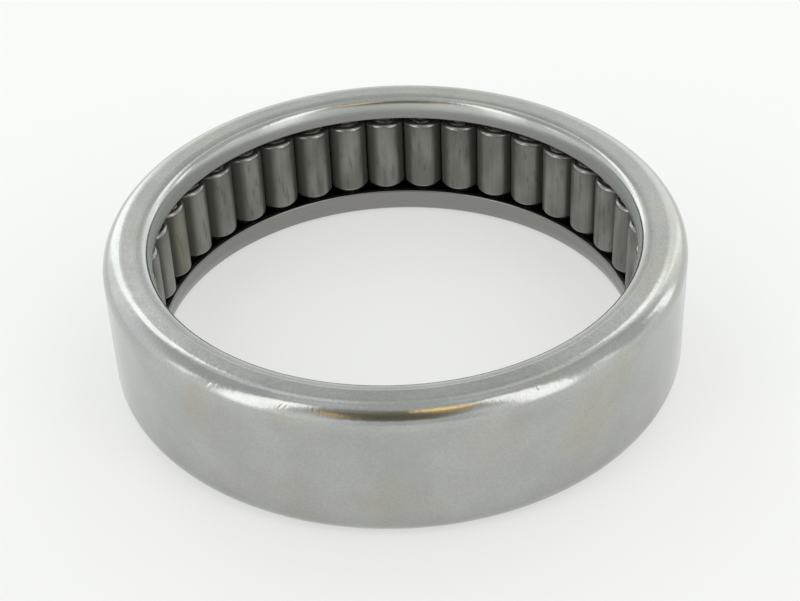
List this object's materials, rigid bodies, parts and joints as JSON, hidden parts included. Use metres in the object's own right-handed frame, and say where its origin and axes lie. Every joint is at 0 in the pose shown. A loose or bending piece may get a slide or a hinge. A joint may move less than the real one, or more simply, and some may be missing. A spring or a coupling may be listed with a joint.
{
  "type": "needle roller bearing",
  "caption": "Open-ended drawn-cup needle roller bearing: thin steel cup with curled lips holding a full complement of pin-ended needle rollers, for a shaft to run through.",
  "frame": {"origin": "centre of the lower end face, on the bearing's axis", "axes": "+Z along the bearing's axis, from the lower end face to the upper one; X and Y across it"},
  "size_m": [0.055, 0.055, 0.014],
  "materials": {
    "cup_steel": "drawn, hardened and tumbled, satin to bright",
    "roller_steel": "ground bearing steel, fine lengthwise haze",
    "grease": "wet, dark, translucent"
  },
  "bodies": {
    "cup": {"drawn_cup": "cup_steel"},
    "roller_set": {"grease_bands": "grease"},
    "needle_01": {"needle_roller_01": "roller_steel"},
    "needle_02": {"needle_roller_02": "roller_steel"},
    "needle_03": {"needle_roller_03": "roller_steel"},
    "needle_04": {"needle_roller_04": "roller_steel"},
    "needle_05": {"needle_roller_05": "roller_steel"},
    "needle_06": {"needle_roller_06": "roller_steel"},
    "needle_07": {"needle_roller_07": "roller_steel"},
    "needle_08": {"needle_roller_08": "roller_steel"},
    "needle_09": {"needle_roller_09": "roller_steel"},
    "needle_10": {"needle_roller_10": "roller_steel"},
    "needle_11": {"needle_roller_11": "roller_steel"},
    "needle_12": {"needle_roller_12": "roller_steel"},
    "needle_13": {"needle_roller_13": "roller_steel"},
    "needle_14": {"needle_roller_14": "roller_steel"},
    "needle_15": {"needle_roller_15": "roller_steel"},
    "needle_16": {"needle_roller_16": "roller_steel"},
    "needle_17": {"needle_roller_17": "roller_steel"},
    "needle_18": {"needle_roller_18": "roller_steel"},
    "needle_19": {"needle_roller_19": "roller_steel"},
    "needle_20": {"needle_roller_20": "roller_steel"},
    "needle_21": {"needle_roller_21": "roller_steel"},
    "needle_22": {"needle_roller_22": "roller_steel"},
    "needle_23": {"needle_roller_23": "roller_steel"},
    "needle_24": {"needle_roller_24": "roller_steel"},
    "needle_25": {"needle_roller_25": "roller_steel"},
    "needle_26": {"needle_roller_26": "roller_steel"},
    "needle_27": {"needle_roller_27": "roller_steel"},
    "needle_28": {"needle_roller_28": "roller_steel"},
    "needle_29": {"needle_roller_29": "roller_steel"},
    "needle_30": {"needle_roller_30": "roller_steel"},
    "needle_31": {"needle_roller_31": "roller_steel"},
    "needle_32": {"needle_roller_32": "roller_steel"},
    "needle_33": {"needle_roller_33": "roller_steel"},
    "needle_34": {"needle_roller_34": "roller_steel"},
    "needle_35": {"needle_roller_35": "roller_steel"},
    "needle_36": {"needle_roller_36": "roller_steel"},
    "needle_37": {"needle_roller_37": "roller_steel"},
    "needle_38": {"needle_roller_38": "roller_steel"}
  },
  "joints": [
    {"name": "set_orbit", "type": "hinge", "parent": "cup", "child": "roller_set", "pos_m": [0, 0, 0.007], "axis": [0, 0, 1], "continuous": true},
    {"name": "needle_01_spin", "type": "hinge", "parent": "roller_set", "child": "needle_01", "pos_m": [-0.0006, 0.02474, 0.007], "axis": [0, 0, 1], "continuous": true},
    {"name": "needle_02_spin", "type": "hinge", "parent": "roller_set", "child": "needle_02", "pos_m": [-0.00463, 0.02431, 0.007], "axis": [0, 0, 1], "continuous": true},
    {"name": "needle_03_spin", "type": "hinge", "parent": "roller_set", "child": "needle_03", "pos_m": [-0.00854, 0.02323, 0.007], "axis": [0, 0, 1], "continuous": true},
    {"name": "needle_04_spin", "type": "hinge", "parent": "roller_set", "child": "needle_04", "pos_m": [-0.01222, 0.02152, 0.007], "axis": [0, 0, 1], "continuous": true},
    {"name": "needle_05_spin", "type": "hinge", "parent": "roller_set", "child": "needle_05", "pos_m": [-0.01557, 0.01924, 0.007], "axis": [0, 0, 1], "continuous": true},
    {"name": "needle_06_spin", "type": "hinge", "parent": "roller_set", "child": "needle_06", "pos_m": [-0.01851, 0.01643, 0.007], "axis": [0, 0, 1], "continuous": true},
    {"name": "needle_07_spin", "type": "hinge", "parent": "roller_set", "child": "needle_07", "pos_m": [-0.02095, 0.01318, 0.007], "axis": [0, 0, 1], "continuous": true},
    {"name": "needle_08_spin", "type": "hinge", "parent": "roller_set", "child": "needle_08", "pos_m": [-0.02282, 0.00957, 0.007], "axis": [0, 0, 1], "continuous": true},
    {"name": "needle_09_spin", "type": "hinge", "parent": "roller_set", "child": "needle_09", "pos_m": [-0.02409, 0.0057, 0.007], "axis": [0, 0, 1], "continuous": true},
    {"name": "needle_10_spin", "type": "hinge", "parent": "roller_set", "child": "needle_10", "pos_m": [-0.02469, 0.00166, 0.007], "axis": [0, 0, 1], "continuous": true},
    {"name": "needle_11_spin", "type": "hinge", "parent": "roller_set", "child": "needle_11", "pos_m": [-0.02463, -0.00242, 0.007], "axis": [0, 0, 1], "continuous": true},
    {"name": "needle_12_spin", "type": "hinge", "parent": "roller_set", "child": "needle_12", "pos_m": [-0.0239, -0.00645, 0.007], "axis": [0, 0, 1], "continuous": true},
    {"name": "needle_13_spin", "type": "hinge", "parent": "roller_set", "child": "needle_13", "pos_m": [-0.0225, -0.0103, 0.007], "axis": [0, 0, 1], "continuous": true},
    {"name": "needle_14_spin", "type": "hinge", "parent": "roller_set", "child": "needle_14", "pos_m": [-0.02049, -0.01388, 0.007], "axis": [0, 0, 1], "continuous": true},
    {"name": "needle_15_spin", "type": "hinge", "parent": "roller_set", "child": "needle_15", "pos_m": [-0.01792, -0.01707, 0.007], "axis": [0, 0, 1], "continuous": true},
    {"name": "needle_16_spin", "type": "hinge", "parent": "roller_set", "child": "needle_16", "pos_m": [-0.01484, -0.01981, 0.007], "axis": [0, 0, 1], "continuous": true},
    {"name": "needle_17_spin", "type": "hinge", "parent": "roller_set", "child": "needle_17", "pos_m": [-0.01136, -0.02199, 0.007], "axis": [0, 0, 1], "continuous": true},
    {"name": "needle_18_spin", "type": "hinge", "parent": "roller_set", "child": "needle_18", "pos_m": [-0.00755, -0.02357, 0.007], "axis": [0, 0, 1], "continuous": true},
    {"name": "needle_19_spin", "type": "hinge", "parent": "roller_set", "child": "needle_19", "pos_m": [-0.00354, -0.0245, 0.007], "axis": [0, 0, 1], "continuous": true},
    {"name": "needle_20_spin", "type": "hinge", "parent": "roller_set", "child": "needle_20", "pos_m": [0.00058, -0.02474, 0.007], "axis": [0, 0, 1], "continuous": true},
    {"name": "needle_21_spin", "type": "hinge", "parent": "roller_set", "child": "needle_21", "pos_m": [0.00468, -0.0243, 0.007], "axis": [0, 0, 1], "continuous": true},
    {"name": "needle_22_spin", "type": "hinge", "parent": "roller_set", "child": "needle_22", "pos_m": [0.00864, -0.02319, 0.007], "axis": [0, 0, 1], "continuous": true},
    {"name": "needle_23_spin", "type": "hinge", "parent": "roller_set", "child": "needle_23", "pos_m": [0.01237, -0.02144, 0.007], "axis": [0, 0, 1], "continuous": true},
    {"name": "needle_24_spin", "type": "hinge", "parent": "roller_set", "child": "needle_24", "pos_m": [0.01575, -0.01909, 0.007], "axis": [0, 0, 1], "continuous": true},
    {"name": "needle_25_spin", "type": "hinge", "parent": "roller_set", "child": "needle_25", "pos_m": [0.0187, -0.01621, 0.007], "axis": [0, 0, 1], "continuous": true},
    {"name": "needle_26_spin", "type": "hinge", "parent": "roller_set", "child": "needle_26", "pos_m": [0.02112, -0.0129, 0.007], "axis": [0, 0, 1], "continuous": true},
    {"name": "needle_27_spin", "type": "hinge", "parent": "roller_set", "child": "needle_27", "pos_m": [0.02297, -0.00923, 0.007], "axis": [0, 0, 1], "continuous": true},
    {"name": "needle_28_spin", "type": "hinge", "parent": "roller_set", "child": "needle_28", "pos_m": [0.02417, -0.00531, 0.007], "axis": [0, 0, 1], "continuous": true},
    {"name": "needle_29_spin", "type": "hinge", "parent": "roller_set", "child": "needle_29", "pos_m": [0.02472, -0.00125, 0.007], "axis": [0, 0, 1], "continuous": true},
    {"name": "needle_30_spin", "type": "hinge", "parent": "roller_set", "child": "needle_30", "pos_m": [0.02459, 0.00284, 0.007], "axis": [0, 0, 1], "continuous": true},
    {"name": "needle_31_spin", "type": "hinge", "parent": "roller_set", "child": "needle_31", "pos_m": [0.02379, 0.00684, 0.007], "axis": [0, 0, 1], "continuous": true},
    {"name": "needle_32_spin", "type": "hinge", "parent": "roller_set", "child": "needle_32", "pos_m": [0.02234, 0.01066, 0.007], "axis": [0, 0, 1], "continuous": true},
    {"name": "needle_33_spin", "type": "hinge", "parent": "roller_set", "child": "needle_33", "pos_m": [0.02029, 0.01417, 0.007], "axis": [0, 0, 1], "continuous": true},
    {"name": "needle_34_spin", "type": "hinge", "parent": "roller_set", "child": "needle_34", "pos_m": [0.01769, 0.01731, 0.007], "axis": [0, 0, 1], "continuous": true},
    {"name": "needle_35_spin", "type": "hinge", "parent": "roller_set", "child": "needle_35", "pos_m": [0.01462, 0.01997, 0.007], "axis": [0, 0, 1], "continuous": true},
    {"name": "needle_36_spin", "type": "hinge", "parent": "roller_set", "child": "needle_36", "pos_m": [0.01116, 0.02209, 0.007], "axis": [0, 0, 1], "continuous": true},
    {"name": "needle_37_spin", "type": "hinge", "parent": "roller_set", "child": "needle_37", "pos_m": [0.0074, 0.02362, 0.007], "axis": [0, 0, 1], "continuous": true},
    {"name": "needle_38_spin", "type": "hinge", "parent": "roller_set", "child": "needle_38", "pos_m": [0.00345, 0.02451, 0.007], "axis": [0, 0, 1], "continuous": true}
  ],
  "couplings": [
    {"joint": "needle_01_spin", "follows": "set_orbit", "ratio": -13.385},
    {"joint": "needle_02_spin", "follows": "set_orbit", "ratio": -13.385},
    {"joint": "needle_03_spin", "follows": "set_orbit", "ratio": -13.385},
    {"joint": "needle_04_spin", "follows": "set_orbit", "ratio": -13.385},
    {"joint": "needle_05_spin", "follows": "set_orbit", "ratio": -13.385},
    {"joint": "needle_06_spin", "follows": "set_orbit", "ratio": -13.385},
    {"joint": "needle_07_spin", "follows": "set_orbit", "ratio": -13.385},
    {"joint": "needle_08_spin", "follows": "set_orbit", "ratio": -13.385},
    {"joint": "needle_09_spin", "follows": "set_orbit", "ratio": -13.385},
    {"joint": "needle_10_spin", "follows": "set_orbit", "ratio": -13.385},
    {"joint": "needle_11_spin", "follows": "set_orbit", "ratio": -13.385},
    {"joint": "needle_12_spin", "follows": "set_orbit", "ratio": -13.385},
    {"joint": "needle_13_spin", "follows": "set_orbit", "ratio": -13.385},
    {"joint": "needle_14_spin", "follows": "set_orbit", "ratio": -13.385},
    {"joint": "needle_15_spin", "follows": "set_orbit", "ratio": -13.385},
    {"joint": "needle_16_spin", "follows": "set_orbit", "ratio": -13.385},
    {"joint": "needle_17_spin", "follows": "set_orbit", "ratio": -13.385},
    {"joint": "needle_18_spin", "follows": "set_orbit", "ratio": -13.385},
    {"joint": "needle_19_spin", "follows": "set_orbit", "ratio": -13.385},
    {"joint": "needle_20_spin", "follows": "set_orbit", "ratio": -13.385},
    {"joint": "needle_21_spin", "follows": "set_orbit", "ratio": -13.385},
    {"joint": "needle_22_spin", "follows": "set_orbit", "ratio": -13.385},
    {"joint": "needle_23_spin", "follows": "set_orbit", "ratio": -13.385},
    {"joint": "needle_24_spin", "follows": "set_orbit", "ratio": -13.385},
    {"joint": "needle_25_spin", "follows": "set_orbit", "ratio": -13.385},
    {"joint": "needle_26_spin", "follows": "set_orbit", "ratio": -13.385},
    {"joint": "needle_27_spin", "follows": "set_orbit", "ratio": -13.385},
    {"joint": "needle_28_spin", "follows": "set_orbit", "ratio": -13.385},
    {"joint": "needle_29_spin", "follows": "set_orbit", "ratio": -13.385},
    {"joint": "needle_30_spin", "follows": "set_orbit", "ratio": -13.385},
    {"joint": "needle_31_spin", "follows": "set_orbit", "ratio": -13.385},
    {"joint": "needle_32_spin", "follows": "set_orbit", "ratio": -13.385},
    {"joint": "needle_33_spin", "follows": "set_orbit", "ratio": -13.385},
    {"joint": "needle_34_spin", "follows": "set_orbit", "ratio": -13.385},
    {"joint": "needle_35_spin", "follows": "set_orbit", "ratio": -13.385},
    {"joint": "needle_36_spin", "follows": "set_orbit", "ratio": -13.385},
    {"joint": "needle_37_spin", "follows": "set_orbit", "ratio": -13.385},
    {"joint": "needle_38_spin", "follows": "set_orbit", "ratio": -13.385}
  ]
}
